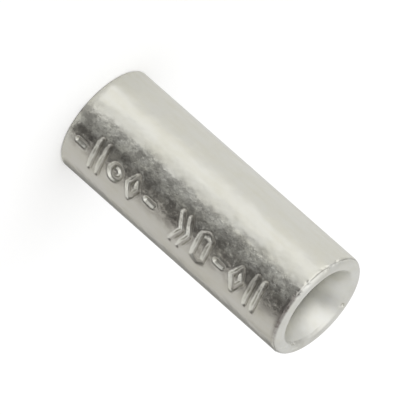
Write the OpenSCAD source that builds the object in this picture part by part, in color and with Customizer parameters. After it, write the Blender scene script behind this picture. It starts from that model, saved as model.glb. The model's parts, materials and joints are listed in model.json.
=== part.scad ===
// Parallel splice connector: a short seamless barrel of tinned copper, open right through.
// Two stripped wires lie side by side in the bore, and the barrel is crimped around them.
// It stands on its lower end, with the bore along Z and the origin at the middle of that end.

/* [Barrel] */
// Length of the barrel
barrel_length = 8.4; // [7.8:0.1:16]
// Outer diameter of the barrel
barrel_diameter = 3.3; // [3.2:0.1:4.5]
// Diameter of the straight bore that holds the wires
bore_diameter = 1.8; // [1.4:0.1:2.2]

/* [Ends] */
// Diameter of the flared wire entry where it meets an end face
entry_diameter = 2.6; // [2.4:0.05:2.7]
// How far in from an end face the flare runs before it meets the bore
entry_depth = 1.2; // [0.6:0.1:1.6]
// Width of the crowned rim of the upper end face, measured in from the outer edge
crown_width = 0.22; // [0.12:0.01:0.24]
// How far the crowned rim falls towards the outer edge
crown_drop = 0.10; // [0.04:0.01:0.11]
// Bevel around the outer edge of the lower end
edge_bevel = 0.04; // [0.02:0.01:0.12]

/* [Stamped row] */
// Side of the barrel that the row is on, as an angle around Z from +X
row_angle = -57; // [-180:1:180]
// Distance from the lower end of the barrel to the first mark's cell
row_start = 0.2; // [0.15:0.01:0.3]
// Distance from one mark to the next
mark_pitch = 0.67; // [0.65:0.01:0.7]
// Height of the marks, across the row
mark_height = 1.15; // [0.9:0.05:1.2]
// Width of the marks, along the row
mark_width = 0.58; // [0.56:0.02:0.62]
// Width of the stamped strokes
stroke_width = 0.20; // [0.12:0.01:0.22]
// Depth of the strokes where they end, at the top and bottom of the marks
stroke_end_depth = 0.02; // [0.01:0.01:0.05]
// Radius of the curve that the die's face follows around the barrel
die_radius = 3.7; // [2.4:0.1:8]

/* [Hidden] */

// Radii and depths of the barrel's section
barrel_radius = barrel_diameter / 2;
bore_radius = bore_diameter / 2;
entry_radius = entry_diameter / 2;
entry_width = entry_radius - bore_radius;
entry_arc = arc_radius(entry_depth, entry_width);
crown_radius = barrel_radius - crown_width;
crown_arc = arc_radius(crown_width, crown_drop);

// The die is flatter than the barrel, so the strokes are deepest along the middle of the row
stroke_end_floor = at_mark_end(barrel_radius) - stroke_end_depth;
die_offset = at_mark_end(die_radius) - stroke_end_floor;

// Marks in order from the lower end to the upper one, each in a cell of its own
ROW = ["dash", "bars", "ring", "diamond", "dash", "gap", "chevrons", "hexagon", "dash", "diamond", "bars"];
row_room = barrel_length - crown_drop - 2 * row_start;
cells = min(len(ROW), floor(row_room / mark_pitch));
bar_spacing = mark_width / 2;
dash_length = mark_width * 0.8;
hexagon_slope = 30;
chevron_angle = 65;
chevron_arm = (mark_height - stroke_width) / (2 * sin(chevron_angle)) + stroke_width;
chevron_tip = mark_width / 2 - stroke_width / (2 * sin(chevron_angle));

// How far a cutter runs on past the surface that it cuts
cut_over = 0.2;

$fn = 96;

// Radius of an arc that starts along one line and has left it by the rise when it has run the length
function arc_radius(run, rise) = (run * run + rise * rise) / (2 * rise);

// How far out a circle reaches beside the middle of the row, where the marks end
function at_mark_end(radius) = sqrt(radius * radius - mark_height * mark_height / 4);

// Half of the barrel's lengthwise section: radius across, height up
module barrel_section() {
    difference() {
        polygon([
            [bore_radius, 0],
            [barrel_radius - edge_bevel, 0],
            [barrel_radius, edge_bevel],
            [barrel_radius, barrel_length],
            [bore_radius, barrel_length]
        ]);
        entry_corner();
        translate([0, barrel_length])
            mirror([0, 1])
                entry_corner();
        crown_corner();
    }
}

// What a flared wire entry leaves out of the section's lower inner corner
module entry_corner() {
    difference() {
        translate([bore_radius - cut_over, -cut_over])
            square([entry_width + cut_over, entry_depth + cut_over]);
        translate([bore_radius + entry_arc, entry_depth])
            circle(entry_arc);
    }
}

// What the crowned rim leaves out of the section's upper outer corner
module crown_corner() {
    difference() {
        translate([crown_radius, barrel_length - crown_drop])
            square([crown_width + cut_over, crown_drop + cut_over]);
        translate([crown_radius, barrel_length - crown_arc])
            circle(crown_arc);
    }
}

// A straight stroke with round ends, along X and centred
module stroke(length) {
    straight = length - stroke_width;
    square([straight, stroke_width], center = true);
    for (side = [-1, 1])
        translate([side * straight / 2, 0])
            circle(d = stroke_width);
}

// A round outline
module ring_mark() {
    difference() {
        circle(d = mark_width);
        circle(d = mark_width - 2 * stroke_width);
    }
}

// Two strokes across the row
module bars_mark() {
    for (side = [-1, 1])
        translate([side * bar_spacing / 2, 0])
            rotate(90)
                stroke(mark_height);
}

// A six-sided face with a corner at the top and one at the bottom of the mark
module hexagon_face(inset) {
    side = mark_width / 2 - inset;
    tip = mark_height / 2 - inset / cos(hexagon_slope);
    shoulder = tip - side * tan(hexagon_slope);
    polygon([[side, shoulder], [0, tip], [-side, shoulder], [-side, -shoulder], [0, -tip], [side, -shoulder]]);
}

// A six-sided outline
module hexagon_mark() {
    difference() {
        hexagon_face(0);
        hexagon_face(stroke_width);
    }
}

// A diamond face, as wide and as high as the marks
module diamond_face(inset) {
    slope = atan(mark_height / mark_width);
    side = mark_width / 2 - inset / sin(slope);
    tip = mark_height / 2 - inset / cos(slope);
    polygon([[side, 0], [0, tip], [-side, 0], [0, -tip]]);
}

// A diamond outline
module diamond_mark() {
    difference() {
        diamond_face(0);
        diamond_face(stroke_width);
    }
}

// Two arrowheads that point up the barrel, one behind the other
module chevrons_mark() {
    for (place = [0, 1])
        translate([chevron_tip - place * bar_spacing, 0])
            for (lean = [-1, 1])
                rotate(lean * chevron_angle)
                    translate([(stroke_width - chevron_arm) / 2, 0])
                        stroke(chevron_arm);
}

// The flat outline of one mark, with X up the barrel
module mark(name) {
    if (name == "ring") ring_mark();
    if (name == "bars") bars_mark();
    if (name == "dash") stroke(dash_length);
    if (name == "hexagon") hexagon_mark();
    if (name == "diamond") diamond_mark();
    if (name == "chevrons") chevrons_mark();
}

// The row of marks as cutters, from outside the barrel in to the floor of the strokes
module stamped_row() {
    rotate([0, 0, row_angle])
        difference() {
            for (cell = [0 : cells - 1])
                translate([barrel_radius + cut_over, 0, row_start + mark_pitch * (cell + 0.5)])
                    rotate([0, -90, 0])
                        linear_extrude(barrel_radius + cut_over - stroke_end_floor + cut_over)
                            mark(ROW[cell]);
            translate([-die_offset, 0, 0])
                cylinder(r = die_radius, h = barrel_length);
        }
}

// The seamless barrel, with a wire entry at each end and the stamped row on its side
module barrel() {
    color([0.79, 0.79, 0.75])
        difference() {
            rotate_extrude()
                barrel_section();
            stamped_row();
        }
}

barrel();
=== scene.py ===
# Looks of the parallel splice connector: one barrel of tinned copper on a pale studio floor.
import json
import math
from types import SimpleNamespace

import bmesh
import bpy
from bpy.props import FloatProperty, FloatVectorProperty, IntProperty, PointerProperty
from mathutils import Matrix, Vector, noise


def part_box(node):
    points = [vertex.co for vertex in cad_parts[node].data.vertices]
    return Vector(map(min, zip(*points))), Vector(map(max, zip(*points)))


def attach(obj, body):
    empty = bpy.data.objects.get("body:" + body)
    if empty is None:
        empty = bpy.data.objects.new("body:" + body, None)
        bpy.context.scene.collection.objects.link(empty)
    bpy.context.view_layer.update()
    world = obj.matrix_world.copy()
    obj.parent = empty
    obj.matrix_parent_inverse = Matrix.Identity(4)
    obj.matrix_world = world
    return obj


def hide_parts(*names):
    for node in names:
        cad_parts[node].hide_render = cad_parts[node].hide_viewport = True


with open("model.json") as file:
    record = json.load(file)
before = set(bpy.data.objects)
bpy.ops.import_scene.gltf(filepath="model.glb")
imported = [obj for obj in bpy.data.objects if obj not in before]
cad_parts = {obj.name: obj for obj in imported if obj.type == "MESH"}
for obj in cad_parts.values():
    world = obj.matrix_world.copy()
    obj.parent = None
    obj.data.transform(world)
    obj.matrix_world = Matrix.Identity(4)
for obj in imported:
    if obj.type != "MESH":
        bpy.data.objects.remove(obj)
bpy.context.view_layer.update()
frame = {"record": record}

bl_info = {
    "name": "Splice Connector Barrel",
    "version": (1, 0, 0),
    "blender": (4, 5, 0),
    "location": "View3D > Sidebar > Splice Barrel",
    "description": "Models a tinned copper splice barrel and the studio it stands in",
    "category": "Add Mesh",
}

# The barrel is modelled in millimetres and brought down to metres when it is finished
MM = 0.001
MERGE_DISTANCE = 0.001

MOUNTS = {mount["name"]: mount for mount in frame["record"]["mounts"]}
BORE_DIMS = MOUNTS["wire_bore"]["dims"]
BARREL_RADIUS = MOUNTS["barrel_outside"]["dims"]["r_mm"] * MM
BARREL_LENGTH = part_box("barrel")[1].z

# Outer radius, bore radius, length and depth of a wire entry in millimetres
OUTER = BARREL_RADIUS / MM
BORE = BORE_DIMS["r_mm"]
LENGTH = BARREL_LENGTH / MM
ENTRY_DEPTH = (LENGTH - BORE_DIMS["length_mm"]) / 2

# Longest edges of the section in mm: along the outside, along the bore, and on the ends and flares
OUTSIDE_STEP, BORE_STEP, END_STEP = 0.065, 0.35, 0.05

# Marks in order from the lower end to the upper one, each in a cell of its own
ROW = ["dash", "bars", "ring", "diamond", "dash", "gap", "chevrons", "hexagon", "dash", "diamond", "bars"]

# Length of a dash against a mark's width, slope of the hexagon's ends and angle of the chevrons' arms
DASH_SHARE, HEXAGON_SLOPE, CHEVRON_ANGLE = 0.8, math.radians(30), math.radians(65)

# How the floors and the edges of the strokes wander: waves for each millimetre, and reach in mm
FLOOR_WANDER = (2.2, 0.016)
EDGE_WANDER = (5.0, 0.018)

# Distances from the middle of a stroke as shares of its half width: the foot and the top of its wall,
# how far the surface is drawn in, and the middle and spread of the lip and of the painted shade line on it
WALL_FOOT, WALL_TOP, DRAWN_IN_REACH = 0.25, 1.05, 1.6
LIP_MIDDLE, LIP_SPREAD = 1.35, 0.28
SHADE_LINE_MIDDLE, SHADE_LINE_SPREAD = 1.2, 0.3

# Depth of a stroke in mm at which its lips and the grime and painted shade around it are at their full
FULL_STRIKE = 0.06

# Reach of the upper rim's finer mesh down from the end and in from the wire entry's edge, and of the
# finest mesh around each dent and burr, in mm
RIM_REACH, ENTRY_REACH, DENT_REACH = 0.24, 0.13, 0.14

# Half width in mm of the groove around the upper rim, and how strongly the grime and painted shade in it
# show
GROOVE_SPREAD, GROOVE_SHADE_AND_GRIME = 0.014, 2.4

# Bumps of the frayed edges for each millimetre, and how far they rise against how far they stand out
FRAY_BUMPS, FRAY_RISE = 9, 0.8

# Dents and burrs of the upper rim: angle around Z from +X, then in mm the radius, drop below the end,
# reach, push outwards and lift
RIM_MARKS = [
    (112, 1.29, 0.01, 0.055, 0.035, -0.055),
    (112, 1.40, 0.00, 0.045, 0.000, 0.018),
    (-126, 1.60, 0.09, 0.040, 0.020, 0.030),
    (-88, 1.60, 0.09, 0.035, 0.020, 0.026),
    (-2, 1.44, 0.00, 0.040, 0.000, 0.022),
    (2, 1.42, 0.00, 0.040, 0.000, 0.022),
    (18, 1.33, 0.00, 0.040, 0.000, 0.024),
    (22, 1.32, 0.00, 0.040, 0.000, 0.024),
    (17, 1.24, 0.05, 0.045, 0.030, -0.030),
    (22, 1.23, 0.05, 0.045, 0.030, -0.030),
]

# Bright scuffs across the dull part of the upper rim: angle around Z and radius in mm, of both ends
RIM_SCUFFS = [
    (-9, 1.54, 3, 1.32),
    (12, 1.27, 33, 1.27),
    (22, 1.39, 30, 1.38),
]

# Angles from the struck side at which the rough patch starts and at which it is full
PATCH_START, PATCH_FULL = math.radians(27), math.radians(8)

# How far below the upper end in mm the finish of the side gives way to that of the rim
RIM_FINISH_DROP = 0.11

# Faces around a ring of cards. Each is two degrees wide, so the angles of the cards are even.
RING_FACES = 180

# Cards around the barrel: first and last angle in degrees from the camera's side towards +X,
# brightness and warmth
LOWER_CARDS = [
    ("far_card", -180, -150, 0.80, 0.00),
    ("lit_card", -62, -32, 1.19, 0.00),
    ("soft_card", -24, -12, 1.08, 0.00),
    ("edge_card", -12, 4, 0.43, 0.00),
    ("shade_card", 4, 26, 0.38, 0.00),
    ("dark_card", 26, 58, 0.10, 0.06),
    ("grey_card", 58, 84, 0.52, 0.04),
    ("pale_card", 84, 138, 0.72, 0.02),
    ("side_card", 138, 166, 0.25, 0.00),
]

# Cards that stand higher and show in the mouth and on its rim
UPPER_CARDS = [
    ("upper_card", 8, 58, 0.38, 0.00),
    ("bright_card", 70, 112, 1.02, 0.00),
]
LEFT_CARDS = [
    ("left_card", -140, -78, 0.68, 0.00),
]

# Each ring of cards, with the radius and height of its inner and of its outer edge
CARD_RINGS = [
    ("lower_cards", LOWER_CARDS, (0.3 * MM, 0), (60 * MM, 12 * MM)),
    ("upper_cards", UPPER_CARDS, (60 * MM, 12 * MM), (62 * MM, 44 * MM)),
    ("left_cards", LEFT_CARDS, (60 * MM, 36 * MM), (62 * MM, 75 * MM)),
]

# How far the cards' edges stand aside at the barrel's foot, where its reflections spread
FOOT_FAN = 0.40 * MM


class BarrelSizes(bpy.types.PropertyGroup):
    """Sizes of the barrel's section."""

    entry_width: FloatProperty(
        name="Entry width",
        description="How far the flared wire entry reaches out from the bore",
        default=0.40 * MM,
        unit="LENGTH",
        precision=6,
    )
    crown_width: FloatProperty(
        name="Crown width",
        description="Width of the crowned rim of the upper end, measured in from the outer edge",
        default=0.22 * MM,
        unit="LENGTH",
        precision=6,
    )
    crown_drop: FloatProperty(
        name="Crown drop",
        description="How far below the end the crowned rim runs out into the barrel's side",
        default=0.20 * MM,
        unit="LENGTH",
        precision=6,
    )
    lower_bevel: FloatProperty(
        name="Lower bevel",
        description="Bevel around the outer edge of the lower end",
        default=0.04 * MM,
        unit="LENGTH",
        precision=6,
    )
    lip_round: FloatProperty(
        name="Lip round",
        description="Rounding of the upper wire entry's edge",
        default=0.085 * MM,
        unit="LENGTH",
        precision=6,
    )
    edge_round: FloatProperty(
        name="Edge round",
        description="Radius that tumbling leaves on the barrel's edges",
        default=0.018 * MM,
        unit="LENGTH",
        precision=6,
    )
    turns: IntProperty(
        name="Turns",
        description="Steps around the barrel",
        default=160,
    )


class StampSizes(bpy.types.PropertyGroup):
    """Sizes of the stamped row on the barrel's side."""

    row_angle: FloatProperty(
        name="Row angle",
        description="Side of the barrel that the row is on, around Z from +X",
        default=math.radians(-57),
        subtype="ANGLE",
    )
    row_start: FloatProperty(
        name="Row start",
        description="Distance from the lower end of the barrel to the first mark's cell",
        default=0.20 * MM,
        unit="LENGTH",
        precision=6,
    )
    mark_pitch: FloatProperty(
        name="Mark pitch",
        description="Distance from one mark to the next",
        default=0.67 * MM,
        unit="LENGTH",
        precision=6,
    )
    mark_height: FloatProperty(
        name="Mark height",
        description="Height of the marks, across the row",
        default=1.15 * MM,
        unit="LENGTH",
        precision=6,
    )
    mark_width: FloatProperty(
        name="Mark width",
        description="Width of the marks, along the row",
        default=0.58 * MM,
        unit="LENGTH",
        precision=6,
    )
    stroke_width: FloatProperty(
        name="Stroke width",
        description="Width of the stamped strokes",
        default=0.20 * MM,
        unit="LENGTH",
        precision=6,
    )
    stroke_end_depth: FloatProperty(
        name="Stroke end depth",
        description="Depth of the strokes at the top and bottom of the marks",
        default=0.02 * MM,
        unit="LENGTH",
        precision=6,
    )
    die_radius: FloatProperty(
        name="Die radius",
        description="Radius of the curve that the die's face follows around the barrel",
        default=3.70 * MM,
        unit="LENGTH",
        precision=6,
    )
    lip_height: FloatProperty(
        name="Lip height",
        description="Metal pushed up along the edges of the strokes",
        default=0.010 * MM,
        unit="LENGTH",
        precision=6,
    )
    drawn_in: FloatProperty(
        name="Drawn in",
        description="How far the surface beside a stroke is drawn in with it",
        default=0.012 * MM,
        unit="LENGTH",
        precision=6,
    )
    band_cuts: IntProperty(
        name="Band cuts",
        description="Cuts through each face of the stamped band",
        default=3,
    )


class RimWear(bpy.types.PropertyGroup):
    """Wear of the upper rim."""

    groove_depth: FloatProperty(
        name="Groove depth",
        description="Depth of the fine line that the cutting tool left around the rim",
        default=0.014 * MM,
        unit="LENGTH",
        precision=6,
    )
    groove_drop: FloatProperty(
        name="Groove drop",
        description="How far below the end that line runs",
        default=0.115 * MM,
        unit="LENGTH",
        precision=6,
    )
    fray: FloatProperty(
        name="Fray",
        description="How far the edges of the rim wander in and out",
        default=0.030 * MM,
        unit="LENGTH",
        precision=6,
    )
    frayed_side: FloatProperty(
        name="Frayed side",
        description="Side of the rim that is frayed most, around Z from +X",
        default=math.radians(-97),
        subtype="ANGLE",
    )
    lip_wear: FloatProperty(
        name="Lip wear",
        description="How far the wire entry's edge is worn outwards on its worn side",
        default=0.055 * MM,
        unit="LENGTH",
        precision=6,
    )
    worn_side: FloatProperty(
        name="Worn side",
        description="Side of the wire entry that is worn, around Z from +X",
        default=math.radians(-108),
        subtype="ANGLE",
    )
    dull_side: FloatProperty(
        name="Dull side",
        description="Side of the rim's flat and of the wire entry's edge that is dull, around Z from +X",
        default=math.radians(28),
        subtype="ANGLE",
    )
    stained_side: FloatProperty(
        name="Stained side",
        description="Side of the rim that is stained, and where the groove has worn away, around Z from +X",
        default=math.radians(-55),
        subtype="ANGLE",
    )


class TinFinish(bpy.types.PropertyGroup):
    """Colours and surface of the tin plating."""

    tin: FloatVectorProperty(
        name="Tin",
        description="Colour of the clean plating",
        subtype="COLOR",
        size=3,
        default=(0.668, 0.666, 0.631),
    )
    dull_tin: FloatVectorProperty(
        name="Dull tin",
        description="Colour of the plating where it has dulled, most of all on the barrel's outside",
        subtype="COLOR",
        size=3,
        default=(0.641, 0.630, 0.554),
    )
    # Also paints shade: beside the strokes, in the rim's groove and on the rough side
    grime_and_painted_shade: FloatVectorProperty(
        name="Grime",
        description="Colour of what has settled in the strokes and in the rough patch",
        subtype="COLOR",
        size=3,
        default=(0.300, 0.290, 0.262),
    )
    stain: FloatVectorProperty(
        name="Stain",
        description="Colour of the upper rim's edge where the plating has worn thin",
        subtype="COLOR",
        size=3,
        default=(0.225, 0.205, 0.190),
    )
    smoothest: FloatProperty(
        name="Smoothest",
        description="Roughness of the plating where it has been rubbed",
        default=0.29,
        subtype="FACTOR",
    )
    roughest: FloatProperty(
        name="Roughest",
        description="Roughness of the plating where it is dull",
        default=0.38,
        subtype="FACTOR",
    )
    inner_roughness: FloatProperty(
        name="Inner roughness",
        description="Least roughness of the plating inside the barrel and on its ends",
        default=0.40,
        subtype="FACTOR",
    )
    struck_side: FloatProperty(
        name="Struck side",
        description="Side of the barrel that the blow of the die left rough, around Z from +X",
        default=math.radians(-73),
        subtype="ANGLE",
    )
    pebble_depth: FloatProperty(
        name="Pebble depth",
        description="Depth of the fine pebbled texture that tumbling leaves",
        default=0.014 * MM,
        unit="LENGTH",
        precision=6,
    )


class StudioSettings(bpy.types.PropertyGroup):
    """The floor, lamp, white room and camera around the barrel."""

    sky_strength: FloatProperty(
        name="Sky strength",
        description="Brightness of the white room around the barrel",
        default=0.91,
    )
    floor_colour: FloatVectorProperty(
        name="Floor",
        description="Colour of the studio floor",
        subtype="COLOR",
        size=3,
        default=(0.90, 0.90, 0.90),
    )
    floor_lift: FloatProperty(
        name="Floor lift",
        description="Light added to the floor where the camera sees it",
        default=0.15,
    )
    floor_radius: FloatProperty(
        name="Floor radius",
        description="Radius of the studio floor",
        default=0.6,
        unit="LENGTH",
    )
    key_side: FloatProperty(
        name="Key side",
        description="Angle of the softbox around the barrel, from the camera's side towards +X",
        default=math.radians(-36),
        subtype="ANGLE",
    )
    key_elevation: FloatProperty(
        name="Key elevation",
        description="Angle of the softbox above the horizon",
        default=math.radians(38),
        subtype="ANGLE",
    )
    key_distance: FloatProperty(
        name="Key distance",
        description="Distance from the softbox to the middle of the barrel",
        default=0.3,
        unit="LENGTH",
    )
    key_size: FloatVectorProperty(
        name="Key size",
        description="Width and height of the softbox",
        size=2,
        unit="LENGTH",
        default=(0.50, 0.42),
    )
    key_radiance: FloatProperty(
        name="Key radiance",
        description="Brightness of the softbox, where the white room's is the sky strength",
        default=0.47,
    )
    camera_distance: FloatProperty(
        name="Camera distance",
        description="Distance from the camera to the middle of the barrel",
        default=0.2716,
        unit="LENGTH",
    )
    camera_elevation: FloatProperty(
        name="Camera elevation",
        description="Angle of the camera above the horizon",
        default=math.radians(21.86),
        subtype="ANGLE",
    )
    camera_roll: FloatProperty(
        name="Camera roll",
        description="Turn of the camera about its own line of sight",
        default=math.radians(131.49),
        subtype="ANGLE",
    )
    lens: FloatProperty(
        name="Lens",
        description="Focal length in millimetres on a sensor 36 mm wide",
        default=868.8,
    )
    picture_offset: FloatVectorProperty(
        name="Picture offset",
        description="How far the barrel's middle lies right of and above the picture's middle",
        size=2,
        unit="LENGTH",
        precision=6,
        default=(0.0982 * MM, -0.1478 * MM),
    )


# Sums


def smooth(low, high, value):
    """Ease from 0 at low to 1 at high."""
    share = max(0, min(1, (value - low) / (high - low)))
    return share * share * (3 - 2 * share)


def ridge(value, middle, width):
    """Rise to 1 at the middle, and fall to about a third at the width on either side."""
    return math.exp(-(((value - middle) / width) ** 2))


def toward(angle):
    """Unit vector away from the barrel's axis, at an angle around Z from +X."""
    return Vector((math.cos(angle), math.sin(angle), 0))


def segment_distance(point, start, end):
    """Distance from a point to a straight line between two points."""
    line = end - start
    share = max(0, min(1, (point - start).dot(line) / line.length_squared))
    return (point - start - line * share).length


# Section of the barrel


def crown_points(sizes, steps=14):
    """Points down the crowned rim from its inner edge to its outer one, as radius and height in mm."""
    width, drop = sizes.crown_width / MM, sizes.crown_drop / MM
    start = OUTER - width
    turns = [math.pi / 2 * step / steps for step in range(steps + 1)]
    return [(start + width * math.sin(turn), LENGTH - drop * (1 - math.cos(turn))) for turn in turns]


def entry_points(sizes, steps=24):
    """Points along the flare from the bore out to the end, as radius and depth in mm."""
    width = sizes.entry_width / MM
    arc = (width * width + ENTRY_DEPTH * ENTRY_DEPTH) / (2 * width)
    sweep = math.asin(ENTRY_DEPTH / arc)
    turns = [sweep * step / steps for step in range(steps + 1)]
    return [(BORE + arc * (1 - math.cos(turn)), ENTRY_DEPTH - arc * math.sin(turn)) for turn in turns]


def select_vertices(piece, wanted):
    """In edit mode, select the vertices whose place passes the test."""
    shape = bmesh.from_edit_mesh(piece.data)
    bpy.ops.mesh.select_all(action="DESELECT")
    for vertex in shape.verts:
        vertex.select = wanted(vertex.co)
    shape.select_flush_mode()
    bmesh.update_edit_mesh(piece.data)


def at_any(*places):
    """Test for vertices that lie at one of the places."""
    return lambda co: any((co - place).length < MERGE_DISTANCE for place in places)


def section_place(corner):
    """Where a corner of the section lies, given as radius and height."""
    return Vector((corner[0], 0, corner[1]))


def draw_section(piece, sizes):
    """Turn a plane into the closed outline of the barrel's wall, cut lengthwise, in edit mode."""
    bevel = sizes.lower_bevel / MM
    flare, crown = entry_points(sizes), crown_points(sizes)
    corners = [
        *flare,
        (OUTER - bevel, 0),
        (OUTER, bevel),
        *reversed(crown),
        *((radius, LENGTH - depth) for radius, depth in reversed(flare)),
    ]
    bpy.ops.mesh.merge(type="CENTER")
    bpy.ops.transform.translate(value=section_place(corners[0]))
    for (radius, height), (next_radius, next_height) in zip(corners, corners[1:]):
        step = (next_radius - radius, 0, next_height - height)
        bpy.ops.mesh.extrude_vertices_move(TRANSFORM_OT_translate={"value": step})
    select_vertices(piece, at_any(section_place(corners[0]), section_place(corners[-1])))
    bpy.ops.mesh.edge_face_add()
    rounded = [
        (flare[-1], sizes.edge_round),
        ((OUTER - bevel, 0), sizes.edge_round),
        ((OUTER, bevel), sizes.edge_round),
        ((flare[-1][0], LENGTH), sizes.lip_round),
    ]
    for corner, rounding in rounded:
        select_vertices(piece, at_any(section_place(corner)))
        bpy.ops.mesh.bevel(offset=rounding / MM, segments=4, affect="VERTICES")


def wall_step(radius):
    """Longest edge wanted in the section at a radius."""
    if OUTER - radius < MERGE_DISTANCE:
        return OUTSIDE_STEP
    return BORE_STEP if radius - BORE < MERGE_DISTANCE else END_STEP


def cut_walls(piece):
    """Cut the section's long straight edges into short ones, in edit mode."""
    long_edges = []
    for edge in bmesh.from_edit_mesh(piece.data).edges:
        start, end = (vertex.co.copy() for vertex in edge.verts)
        cuts = math.ceil(edge.calc_length() / wall_step((start.x + end.x) / 2)) - 1
        if cuts > 0:
            long_edges.append((start, end, cuts))
    for start, end, cuts in long_edges:
        select_vertices(piece, at_any(start, end))
        bpy.ops.mesh.subdivide(number_cuts=cuts)


def turn_section(piece, turns):
    """Turn the section once around Z into a closed wall, from edit mode and back to it.

    The modifier gives the same mesh each run, where the spin operator lists its faces in a new order."""
    bpy.ops.object.mode_set(mode="OBJECT")
    bpy.ops.object.modifier_add(type="SCREW")
    screw = piece.modifiers[-1]
    screw.axis = "Z"
    screw.angle = math.tau
    screw.steps = screw.render_steps = turns
    # Flipped, the faces of the outside already point outwards
    screw.use_normal_flip = True
    bpy.ops.object.modifier_apply(modifier=screw.name)
    bpy.ops.object.mode_set(mode="EDIT")
    bpy.ops.mesh.select_all(action="SELECT")
    bpy.ops.mesh.normals_make_consistent(inside=False)


# Stamped row


def row_frame(stamp):
    """Unit vectors out from the barrel and along its side at the middle of the stamped row."""
    out = toward(stamp.row_angle)
    return out, Vector((-out.y, out.x, 0))


def in_band(stamp):
    """Test for places on the side of the barrel that the stamped row reaches."""
    out, along = row_frame(stamp)
    spare = stamp.stroke_width / MM
    half = stamp.mark_height / MM / 2 + spare
    low = stamp.row_start / MM - spare
    high = low + len(ROW) * stamp.mark_pitch / MM + 2 * spare

    def wanted(co):
        on_side = co.xy.length > OUTER - MERGE_DISTANCE * 2 and co.dot(out) > 0
        return on_side and abs(co.dot(along)) < half and low < co.z < high

    return wanted


def outline_strokes(*corners):
    """The sides of a closed outline as pairs of points."""
    corners = [Vector(corner) for corner in corners]
    return list(zip(corners, corners[1:] + corners[:1]))


def mark_strokes(name, width, height, stroke):
    """Middle lines of a mark's straight strokes as pairs of points, with X up the barrel."""
    reach = (height - stroke) / 2
    if name == "bars":
        return [(Vector((place, -reach)), Vector((place, reach))) for place in (-width / 4, width / 4)]
    if name == "dash":
        half = (width * DASH_SHARE - stroke) / 2
        return [(Vector((-half, 0)), Vector((half, 0)))]
    if name == "diamond":
        slope = math.atan2(height, width)
        side, tip = (width - stroke / math.sin(slope)) / 2, (height - stroke / math.cos(slope)) / 2
        return outline_strokes((side, 0), (0, tip), (-side, 0), (0, -tip))
    if name == "hexagon":
        side, tip = (width - stroke) / 2, (height - stroke / math.cos(HEXAGON_SLOPE)) / 2
        low = tip - side * math.tan(HEXAGON_SLOPE)
        corners = (side, low), (0, tip), (-side, low), (-side, -low), (0, -tip), (side, -low)
        return outline_strokes(*corners)
    if name == "chevrons":
        first = (width - stroke / math.sin(CHEVRON_ANGLE)) / 2
        back = reach / math.tan(CHEVRON_ANGLE)
        ends = [(tip, side) for tip in (first, first - width / 2) for side in (-1, 1)]
        return [(Vector((tip, 0)), Vector((tip - back, side * reach))) for tip, side in ends]
    return []


def mark_distance(name, point, stamp):
    """Distance in mm from a point to the middle of the mark's strokes, or a mark's width for a gap."""
    width, height, stroke = stamp.mark_width / MM, stamp.mark_height / MM, stamp.stroke_width / MM
    if name == "ring":
        return abs(point.length - (width - stroke) / 2)
    strokes = mark_strokes(name, width, height, stroke)
    return min((segment_distance(point, start, end) for start, end in strokes), default=width)


def stamp_row(piece, stamp):
    """Press the strokes of the marks into the barrel's side, with the metal they push up beside them."""
    out, along = row_frame(stamp)
    wanted = in_band(stamp)
    half_stroke, half_height = stamp.stroke_width / MM / 2, stamp.mark_height / MM / 2
    die = stamp.die_radius / MM
    end_floor = math.sqrt(OUTER ** 2 - half_height ** 2) - stamp.stroke_end_depth / MM
    die_offset = math.sqrt(die ** 2 - half_height ** 2) - end_floor
    start, pitch = stamp.row_start / MM, stamp.mark_pitch / MM
    floor_waves, floor_reach = FLOOR_WANDER
    edge_waves, edge_reach = EDGE_WANDER
    grime_and_painted_shade = piece.data.attributes["grime_and_painted_shade"].data
    for vertex in piece.data.vertices:
        place = vertex.co
        if not wanted(place):
            continue
        place.xy = place.xy.normalized() * OUTER
        across, surface = place.dot(along), place.dot(out)
        cell = min(len(ROW) - 1, max(0, int((place.z - start) / pitch)))
        nearest = min(
            mark_distance(ROW[near], Vector((place.z - start - pitch * (near + 0.5), across)), stamp)
            for near in range(max(0, cell - 1), min(len(ROW), cell + 2))
        )
        uneven = noise.noise(place * floor_waves) * floor_reach
        nearest += noise.noise(place * edge_waves) * edge_reach
        beside = nearest / half_stroke
        sink = 1 - smooth(WALL_FOOT, WALL_TOP, beside)
        struck_depth = surface - math.sqrt(die ** 2 - across ** 2) + die_offset
        force = smooth(0, FULL_STRIKE, struck_depth)
        depth = max(0, struck_depth + uneven) * sink
        depth += stamp.drawn_in / MM * force * ridge(beside, 0, DRAWN_IN_REACH)
        lip = stamp.lip_height / MM * force * ridge(beside, LIP_MIDDLE, LIP_SPREAD)
        vertex.co = place + out * (lip - depth)

        # Inside the strokes the colour is darkened as grime and painted shade. Beside them runs painted
        # shade in a line that thins out from the left to the right of the row, seen with the upper end up
        shade_line_weight = 1 - 0.65 * smooth(-0.35, 0.25, across)
        line = 2 * force * shade_line_weight * ridge(beside, SHADE_LINE_MIDDLE, SHADE_LINE_SPREAD)
        grime_and_painted_shade[vertex.index].value = max(sink * (0.3 + 0.7 * force), line)


# Upper rim


def in_rim(entry_radius):
    """Test for places on the upper rim, from inside the wire entry's edge out and down past the crown."""
    return lambda co: co.z > LENGTH - RIM_REACH and co.xy.length > entry_radius - ENTRY_REACH


def rim_place(angle, radius, drop):
    """A place on the upper rim, from an angle around Z, a radius and a drop below the end, in mm."""
    turn = math.radians(angle)
    return Vector((radius * math.cos(turn), radius * math.sin(turn), LENGTH - drop))


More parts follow.
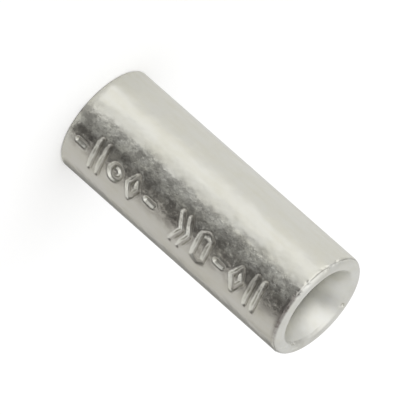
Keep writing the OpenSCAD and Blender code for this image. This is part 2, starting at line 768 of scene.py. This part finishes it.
def wear_rim(piece, entry_radius, wear):
    """Wear, groove, fray and stain the upper rim as cutting and use left it, and dent it at its marks."""
    frayed_side, worn_side = toward(wear.frayed_side), toward(wear.worn_side)
    stained_side, dull_side = toward(wear.stained_side), toward(wear.dull_side)
    groove_drop = wear.groove_drop / MM
    dents = [(rim_place(*mark[:3]), *mark[3:]) for mark in RIM_MARKS]
    scuffs = [(rim_place(*mark[:2], 0), rim_place(*mark[2:], 0)) for mark in RIM_SCUFFS]
    grime_and_painted_shade, stain = (piece.data.attributes[layer].data for layer in ("grime_and_painted_shade", "stain"))
    wanted = in_rim(entry_radius)
    for vertex in piece.data.vertices:
        place = vertex.co.copy()
        radius, drop = place.xy.length, LENGTH - place.z
        out = Vector((place.x / radius, place.y / radius, 0))

        # The wire entry's edge is worn outwards on one side
        worn = smooth(0.5, 1, out.dot(worn_side)) * (1 - smooth(0, 0.35, drop))
        worn *= 1 - smooth(entry_radius + 0.06, OUTER - 0.06, radius)
        vertex.co += out * worn * wear.lip_wear / MM
        if not wanted(place):
            continue

        # The stain runs below the outer edge, and is strongest where the rim is frayed too
        frayed = smooth(0.1, 0.9, out.dot(frayed_side))
        stained = smooth(0.72, 0.97, out.dot(stained_side))
        on_side = smooth(OUTER - 0.10, OUTER - 0.05, radius)
        stain_band = smooth(0.05, 0.10, drop) * (1 - smooth(0.13, 0.25, drop))
        stain[vertex.index].value = stained * on_side * stain_band * (0.4 + 0.8 * frayed)

        # The groove has worn away where the rim is stained, and elsewhere is painted dark as grime and
        # shade
        in_groove = on_side * (1 - stained) * ridge(drop, groove_drop, GROOVE_SPREAD)
        vertex.co -= out * in_groove * wear.groove_depth / MM

        # The flat is dull on one side, but for its scuffs, and dullest just inside the wire entry's edge
        dull = smooth(0.50, 0.80, out.dot(dull_side)) * (1 - smooth(0.10, 0.14, drop))
        dull *= smooth(0.02, 0.05, min(segment_distance(place, start, end) for start, end in scuffs))
        dull *= 0.7 + 0.9 * ridge(radius, entry_radius - 0.08, 0.03)
        grime_and_painted_shade[vertex.index].value = max(grime_and_painted_shade[vertex.index].value, GROOVE_SHADE_AND_GRIME * in_groove, dull)

        # The outer edge is frayed, less so at the stain, and the wire entry's edge a little
        at_edge = smooth(OUTER - 0.09, OUTER - 0.02, radius) * (1 - smooth(0.15, 0.22, drop))
        at_entry = 1 - smooth(0.01, 0.06, abs(radius - entry_radius))
        loose = max(at_edge * (0.25 + 0.75 * frayed) * (1 - 0.7 * stained), at_entry * 0.35)
        fray = noise.noise(place * FRAY_BUMPS) * wear.fray / MM * loose
        vertex.co += (out + Vector((0, 0, FRAY_RISE))) * fray
        for middle, reach, push, lift in dents:
            share = ridge((place - middle).length, 0, reach)
            vertex.co += (out * push + Vector((0, 0, lift))) * share


# Barrel


def model_barrel(sizes, stamp, wear):
    """The whole barrel as one closed mesh: its section turned around Z, with the row stamped in."""
    bpy.ops.object.select_all(action="DESELECT")
    bpy.ops.mesh.primitive_plane_add(size=1, location=(0, 0, 0))
    piece = bpy.context.object
    piece.name = piece.data.name = "tinned_barrel"
    bpy.ops.object.mode_set(mode="EDIT")
    bpy.ops.mesh.select_mode(type="VERT")
    draw_section(piece, sizes)
    cut_walls(piece)
    bpy.ops.mesh.select_all(action="SELECT")
    bpy.ops.mesh.remove_doubles(threshold=MERGE_DISTANCE)
    turn_section(piece, sizes.turns)

    # The mesh is finer under the row, on the upper rim and around its dents and burrs
    entry_radius = BORE + sizes.entry_width / MM
    dents = [rim_place(*mark[:3]) for mark in RIM_MARKS]
    select_vertices(piece, in_band(stamp))
    bpy.ops.mesh.subdivide(number_cuts=stamp.band_cuts)
    select_vertices(piece, in_rim(entry_radius))
    bpy.ops.mesh.subdivide(number_cuts=1)
    select_vertices(piece, lambda co: any((co - dent).length < DENT_REACH for dent in dents))
    bpy.ops.mesh.subdivide(number_cuts=1)

    # Faces with more than four corners, where fine mesh meets coarse, are split into clean triangles
    bpy.ops.mesh.select_mode(type="FACE")
    bpy.ops.mesh.select_all(action="DESELECT")
    bpy.ops.mesh.select_face_by_sides(number=4, type="GREATER")
    bpy.ops.mesh.quads_convert_to_tris(ngon_method="BEAUTY")
    bpy.ops.object.mode_set(mode="OBJECT")

    for layer in ("grime_and_painted_shade", "stain"):
        piece.data.attributes.new(layer, "FLOAT", "POINT")
    stamp_row(piece, stamp)
    wear_rim(piece, entry_radius, wear)
    piece.scale = (MM, MM, MM)
    bpy.ops.object.transform_apply(location=False, rotation=False, scale=True)
    bpy.ops.object.shade_smooth()
    return piece


# Finish


class Nodes:
    """Short calls for building a node tree."""

    def __init__(self, tree):
        self.tree = tree
        tree.nodes.clear()

    def add(self, kind, **settings):
        """Add a node, with its own settings by name."""
        node = self.tree.nodes.new(kind)
        for name, value in settings.items():
            setattr(node, name, value)
        return node

    def link(self, source, target):
        """Join an output socket to an input socket."""
        self.tree.links.new(source, target)

    def scaled(self, place, *scale):
        """A place, multiplied along each axis."""
        node = self.add("ShaderNodeMapping")
        node.inputs["Scale"].default_value = scale
        self.link(place, node.inputs["Vector"])
        return node.outputs["Vector"]

    def noise(self, place, scale, detail=3.0, rough=0.5):
        """Noise over a place, in bumps for each millimetre."""
        node = self.add("ShaderNodeTexNoise")
        node.inputs["Scale"].default_value = scale
        node.inputs["Detail"].default_value = detail
        node.inputs["Roughness"].default_value = rough
        self.link(place, node.inputs["Vector"])
        return node.outputs["Fac"]

    def span(self, value, low, high, to_low=0.0, to_high=1.0):
        """Map a value between two others, smoothly and without overshoot."""
        node = self.add("ShaderNodeMapRange", interpolation_type="SMOOTHSTEP")
        self.link(value, node.inputs["Value"])
        limits = {"From Min": low, "From Max": high, "To Min": to_low, "To Max": to_high}
        for title, number in limits.items():
            node.inputs[title].default_value = number
        return node.outputs["Result"]

    def math(self, operation, first, second):
        """One sum on two sockets or numbers."""
        node = self.add("ShaderNodeMath", operation=operation)
        for socket, value in zip(node.inputs, (first, second)):
            if isinstance(value, (int, float)):
                socket.default_value = value
            else:
                self.link(value, socket)
        return node.outputs[0]

    def blend(self, share, first, second):
        """Mix two colours, each a socket or three numbers.

        The node's sockets for colours are inputs 6 and 7 and output 2."""
        node = self.add("ShaderNodeMix", data_type="RGBA")
        self.link(share, node.inputs["Factor"])
        for socket, colour in zip((node.inputs[6], node.inputs[7]), (first, second)):
            if isinstance(colour, bpy.types.NodeSocket):
                self.link(colour, socket)
            else:
                socket.default_value = (*colour, 1)
        return node.outputs[2]


def tin_regions(nodes, finish):
    """Sockets that tell the parts of the barrel apart, and where its plating is dull."""
    in_metres = nodes.add("ShaderNodeTexCoord").outputs["Object"]
    place = nodes.scaled(in_metres, 1 / MM, 1 / MM, 1 / MM)
    drawn = nodes.scaled(in_metres, 1 / MM, 1 / MM, 0.12 / MM)
    across = nodes.scaled(in_metres, 1 / MM, 1 / MM, 0)
    patches = nodes.span(nodes.noise(place, 1.6, 4.0, 0.6), 0.38, 0.66)
    streaks = nodes.span(nodes.noise(drawn, 5.0, 2.0), 0.35, 0.7)

    radius = nodes.add("ShaderNodeVectorMath", operation="LENGTH")
    nodes.link(across, radius.inputs[0])
    beyond = nodes.span(radius.outputs["Value"], OUTER * 0.86, OUTER * 0.98)
    split = nodes.add("ShaderNodeSeparateXYZ")
    nodes.link(place, split.inputs[0])
    height, rim = split.outputs["Z"], LENGTH - RIM_FINISH_DROP
    outside = nodes.math("MULTIPLY", beyond, nodes.span(height, rim - 0.04, rim, 1.0, 0.0))

    product = nodes.add("ShaderNodeVectorMath", operation="DOT_PRODUCT")
    nodes.link(across, product.inputs[0])
    product.inputs[1].default_value = toward(finish.struck_side)
    facing = product.outputs["Value"]
    ragged = nodes.math("ADD", facing, nodes.math("MULTIPLY", patches, 0.03))
    struck = nodes.span(ragged, OUTER * math.cos(PATCH_START), OUTER * math.cos(PATCH_FULL))
    return SimpleNamespace(
        place=place,
        patches=patches,
        dullness=nodes.math("MULTIPLY", nodes.math("ADD", patches, streaks), 0.5),
        outside=outside,
        facing=facing,
        struck=nodes.math("MULTIPLY", struck, outside),
        # Darker towards the upper rim, for the painted shade of the rough side
        painted_shade_near_rim=nodes.span(height, rim - 0.40, rim - 0.03, 0.0, 0.7),
    )


def tin_colour(nodes, finish, regions):
    """Colour of the plating, with grime and painted shade on it and where it has worn thin."""
    place, struck = regions.place, regions.struck
    dulled = nodes.math("MULTIPLY", regions.dullness, 0.6)
    aged = nodes.math("MULTIPLY", regions.outside, 0.4)
    colour = nodes.blend(nodes.math("ADD", dulled, aged), finish.tin, finish.dull_tin)

    # Painted shade: the rough side is darkened in pits, clouds and towards the upper rim, partly real pits
    pits = nodes.span(nodes.noise(place, 9.0, 3.0, 0.6), 0.34, 0.52, 0.55, 0.0)
    deeper = nodes.math("MULTIPLY", pits, nodes.span(struck, 0.35, 1.0))
    clouds = nodes.span(nodes.noise(place, 2.4, 4.0, 0.62), 0.45, 0.60, 0.0, 0.74)
    settled = nodes.math("MAXIMUM", nodes.math("MAXIMUM", deeper, clouds), regions.painted_shade_near_rim)
    colour = nodes.blend(nodes.math("MULTIPLY", settled, struck), colour, finish.grime_and_painted_shade)

    # Grime and painted shade in and beside the strokes and in the rim's groove, and the dull flat
    in_strokes = nodes.add("ShaderNodeAttribute", attribute_name="grime_and_painted_shade").outputs["Fac"]
    patchy = nodes.math("ADD", nodes.math("MULTIPLY", regions.patches, 0.3), 0.1)
    smears = nodes.span(nodes.noise(place, 1.1, 3.0, 0.6), 0.45, 0.65, 0.0, 0.14)
    smears = nodes.math("MULTIPLY", smears, nodes.span(regions.outside, 0.0, 1.0, 1.0, 0.0))
    grime_and_painted_shade = nodes.math("MAXIMUM", nodes.math("MULTIPLY", in_strokes, patchy), smears)
    colour = nodes.blend(grime_and_painted_shade, colour, finish.grime_and_painted_shade)

    worn_thin = nodes.add("ShaderNodeAttribute", attribute_name="stain").outputs["Fac"]
    spotty = nodes.math("ADD", nodes.math("MULTIPLY", pits, 0.6), 0.7)
    return nodes.blend(nodes.math("MULTIPLY", worn_thin, spotty), colour, finish.stain)


def tin_roughness(nodes, finish, regions):
    """Roughness of the plating: rubbed and dull parts outside, and dull all over inside."""
    rough = nodes.span(regions.dullness, 0.0, 1.0, finish.smoothest, finish.roughest)
    inside = nodes.span(regions.outside, 0.0, 1.0, finish.inner_roughness, 0.0)
    return nodes.math("MAXIMUM", rough, inside)


def tin_relief(nodes, regions):
    """Height of the plating's fine relief: pebbles and specks in the rough patch, and waves all around."""
    place, struck = regions.place, regions.struck
    pebbles = nodes.math("SUBTRACT", nodes.noise(place, 4.5, 3.0, 0.58), 0.5)
    pebbles = nodes.math("MULTIPLY", pebbles, nodes.span(struck, 0.0, 1.0, 0.1, 2.0))
    front = nodes.span(regions.facing, -OUTER * 0.4, OUTER * 0.4, 1.2, 3.0)
    waving = nodes.math("MAXIMUM", 0.6, nodes.math("MULTIPLY", regions.outside, front))
    waves = nodes.math("SUBTRACT", nodes.noise(place, 1.8, 2.0), 0.5)
    waves = nodes.math("MULTIPLY", waves, waving)
    specks = nodes.span(nodes.noise(place, 12.0, 3.0, 0.6), 0.55, 0.75)
    specks = nodes.math("MULTIPLY", specks, nodes.span(struck, 0.4, 1.0, 0.0, 0.36))
    return nodes.math("ADD", nodes.math("ADD", waves, pebbles), specks)


def tin_material(finish):
    """Satin tin plating: pebbled by tumbling, dulled in patches, with grime and painted shade on it."""
    material = bpy.data.materials.new("tinned_copper")
    material.use_nodes = True
    nodes = Nodes(material.node_tree)
    output = nodes.add("ShaderNodeOutputMaterial")
    shader = nodes.add("ShaderNodeBsdfPrincipled")
    shader.inputs["Metallic"].default_value = 1.0
    nodes.link(shader.outputs["BSDF"], output.inputs["Surface"])
    regions = tin_regions(nodes, finish)
    nodes.link(tin_colour(nodes, finish, regions), shader.inputs["Base Color"])
    nodes.link(tin_roughness(nodes, finish, regions), shader.inputs["Roughness"])
    bump = nodes.add("ShaderNodeBump")
    bump.inputs["Distance"].default_value = finish.pebble_depth
    nodes.link(tin_relief(nodes, regions), bump.inputs["Height"])
    nodes.link(bump.outputs["Normal"], shader.inputs["Normal"])
    return material


# Stage


def floor_material(colour, lift):
    """Matt pale paper that the camera sees as white, shadows included."""
    material = bpy.data.materials.new("floor_paper")
    material.use_nodes = True
    nodes = Nodes(material.node_tree)
    output = nodes.add("ShaderNodeOutputMaterial")
    paper = nodes.add("ShaderNodeBsdfDiffuse")
    paper.inputs["Color"].default_value = (*colour, 1)
    glow = nodes.add("ShaderNodeEmission")
    path = nodes.add("ShaderNodeLightPath")
    nodes.link(nodes.math("MULTIPLY", path.outputs["Is Camera Ray"], lift), glow.inputs["Strength"])
    both = nodes.add("ShaderNodeAddShader")
    nodes.link(paper.outputs["BSDF"], both.inputs[0])
    nodes.link(glow.outputs["Emission"], both.inputs[1])
    nodes.link(both.outputs["Shader"], output.inputs["Surface"])
    return material


def card_material(name, brightness, warmth):
    """A card that shows at one brightness, however it is lit. Warmth takes it from white towards amber."""
    material = bpy.data.materials.new(name)
    material.use_nodes = True
    nodes = Nodes(material.node_tree)
    output = nodes.add("ShaderNodeOutputMaterial")
    shader = nodes.add("ShaderNodeEmission")
    shader.inputs["Color"].default_value = (1, 1 - warmth, 1 - 1.5 * warmth, 1)
    shader.inputs["Strength"].default_value = brightness
    nodes.link(shader.outputs["Emission"], output.inputs["Surface"])
    return material


def add_floor(studio):
    """A round pale floor under the barrel."""
    bpy.ops.object.select_all(action="DESELECT")
    bpy.ops.mesh.primitive_circle_add(vertices=128, radius=studio.floor_radius, fill_type="NGON")
    floor = bpy.context.object
    floor.name = "studio_floor"
    floor.data.materials.append(floor_material(studio.floor_colour, studio.floor_lift))


def add_cards(title, panels, inner, outer):
    """A ring of cards around the barrel that show only in its reflections.

    Each card's edges follow the sight lines that one line along the barrel's side mirrors, so the card
    shows there as a stripe of even width, which fans out only at the foot."""
    (near, low), (far, high) = inner, outer
    bpy.ops.object.select_all(action="DESELECT")
    bpy.ops.mesh.primitive_cone_add(
        vertices=RING_FACES,
        radius1=near,
        radius2=far,
        depth=high - low,
        end_fill_type="NOTHING",
        location=(0, 0, (low + high) / 2),
    )
    cards = bpy.context.object
    cards.name = title
    bpy.ops.object.transform_apply(location=True)
    for name, _, _, brightness, warmth in panels:
        cards.data.materials.append(card_material(name, brightness, warmth))
    bpy.ops.object.mode_set(mode="EDIT")
    bpy.ops.mesh.select_mode(type="FACE")
    bpy.ops.mesh.select_all(action="DESELECT")
    for face in bmesh.from_edit_mesh(cards.data).faces:
        middle = face.calc_center_median()
        angle = math.degrees(math.atan2(middle.x, -middle.y))
        slots = [slot for slot, (_, first, last, *_) in enumerate(panels) if first < angle < last]
        face.select_set(not slots)
        face.material_index = slots[0] if slots else 0
    bmesh.update_edit_mesh(cards.data)
    bpy.ops.mesh.delete(type="FACE")
    bpy.ops.object.mode_set(mode="OBJECT")
    for vertex in cards.data.vertices:
        angle = math.atan2(vertex.co.x, -vertex.co.y)
        at_foot = vertex.co.z < MERGE_DISTANCE * MM and math.cos(angle) > 0
        fan = FOOT_FAN * math.cos(angle * 1.5) if at_foot else 0
        vertex.co.x += BARREL_RADIUS * math.sin(angle / 2) + fan * math.cos(angle)
        vertex.co.y -= BARREL_RADIUS * math.cos(angle / 2) - fan * math.sin(angle)
    cards.visible_camera = False
    cards.visible_diffuse = False
    cards.visible_shadow = False


def add_softbox(studio):
    """A soft area lamp that faces the barrel, as bright as a sheet of its radiance."""
    side, rise = studio.key_side, studio.key_elevation
    width, height = studio.key_size
    away = Vector((math.sin(side) * math.cos(rise), -math.cos(side) * math.cos(rise), math.sin(rise)))
    middle = Vector((0, 0, BARREL_LENGTH / 2))
    bpy.ops.object.select_all(action="DESELECT")
    bpy.ops.object.light_add(type="AREA", location=middle + away * studio.key_distance)
    lamp = bpy.context.object
    lamp.name = "key_softbox"
    lamp.rotation_mode = "QUATERNION"
    lamp.rotation_quaternion = (-away).to_track_quat("-Z", "Y")
    lamp.data.shape = "RECTANGLE"
    lamp.data.size, lamp.data.size_y = width, height
    lamp.data.energy = studio.key_radiance * math.pi * width * height
    lamp.visible_camera = False


def white_room(strength):
    """An even white world."""
    world = bpy.data.worlds.new("white_room")
    world.use_nodes = True
    nodes = Nodes(world.node_tree)
    output = nodes.add("ShaderNodeOutputWorld")
    background = nodes.add("ShaderNodeBackground")
    background.inputs["Color"].default_value = (1, 1, 1, 1)
    background.inputs["Strength"].default_value = strength
    nodes.link(background.outputs["Background"], output.inputs["Surface"])
    bpy.context.scene.world = world


def add_camera(studio):
    """The camera at the photograph's angle, rolled so that the barrel lies across the picture."""
    rise, roll = studio.camera_elevation, studio.camera_roll
    back = Vector((0, -math.cos(rise), math.sin(rise)))
    level = Vector((1, 0, 0))
    upright = back.cross(level)
    right = level * math.cos(roll) + upright * math.sin(roll)
    up = upright * math.cos(roll) - level * math.sin(roll)
    middle = Vector((0, 0, BARREL_LENGTH / 2))
    shift_right, shift_up = studio.picture_offset
    place = middle + back * studio.camera_distance - right * shift_right - up * shift_up
    bpy.ops.object.select_all(action="DESELECT")
    bpy.ops.object.camera_add(location=place)
    camera = bpy.context.object
    camera.name = "studio_camera"
    camera.rotation_mode = "QUATERNION"
    camera.rotation_quaternion = Matrix((right, up, back)).transposed().to_quaternion()
    camera.data.sensor_width = 36
    camera.data.lens = studio.lens
    camera.data.clip_start, camera.data.clip_end = 0.001, 10
    bpy.context.scene.camera = camera


# Operators and panel


class SPLICE_OT_barrel(bpy.types.Operator):
    """Model the stamped barrel and give it its tin plating"""

    bl_idname = "splice.barrel"
    bl_label = "Barrel"

    def execute(self, context):
        scene = context.scene
        piece = model_barrel(scene.barrel_sizes, scene.stamp_sizes, scene.rim_wear)
        piece.data.materials.append(tin_material(scene.tin_finish))
        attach(piece, "root")
        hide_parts("barrel")
        return {"FINISHED"}


class SPLICE_OT_stage(bpy.types.Operator):
    """Set up the floor, cards, lamp and camera"""

    bl_idname = "splice.stage"
    bl_label = "Stage"

    def execute(self, context):
        studio = context.scene.studio
        context.scene.view_settings.view_transform = "Standard"
        white_room(studio.sky_strength)
        add_floor(studio)
        for ring in CARD_RINGS:
            add_cards(*ring)
        add_softbox(studio)
        add_camera(studio)
        return {"FINISHED"}


class SPLICE_PT_panel(bpy.types.Panel):
    """Sizes, finish and studio of the splice barrel"""

    bl_idname = "SPLICE_PT_panel"
    bl_label = "Splice Barrel"
    bl_space_type = "VIEW_3D"
    bl_region_type = "UI"
    bl_category = "Splice Barrel"

    def draw(self, context):
        for title in GROUPS:
            group, box = getattr(context.scene, title), self.layout.box()
            for setting in group.__annotations__:
                box.prop(group, setting)
        self.layout.operator(SPLICE_OT_barrel.bl_idname)
        self.layout.operator(SPLICE_OT_stage.bl_idname)


GROUPS = {
    "barrel_sizes": BarrelSizes,
    "stamp_sizes": StampSizes,
    "rim_wear": RimWear,
    "tin_finish": TinFinish,
    "studio": StudioSettings,
}
CLASSES = [*GROUPS.values(), SPLICE_OT_barrel, SPLICE_OT_stage, SPLICE_PT_panel]


def register():
    """Register the classes and hang the settings on the scene."""
    for item in CLASSES:
        bpy.utils.register_class(item)
    for title, group in GROUPS.items():
        setattr(bpy.types.Scene, title, PointerProperty(type=group))


def unregister():
    """Take the settings and the classes away again."""
    for title in GROUPS:
        delattr(bpy.types.Scene, title)
    for item in reversed(CLASSES):
        bpy.utils.unregister_class(item)


def main():
    """Build the whole scene."""
    register()
    bpy.ops.splice.stage()
    bpy.ops.splice.barrel()


if __name__ == "__main__":
    main()
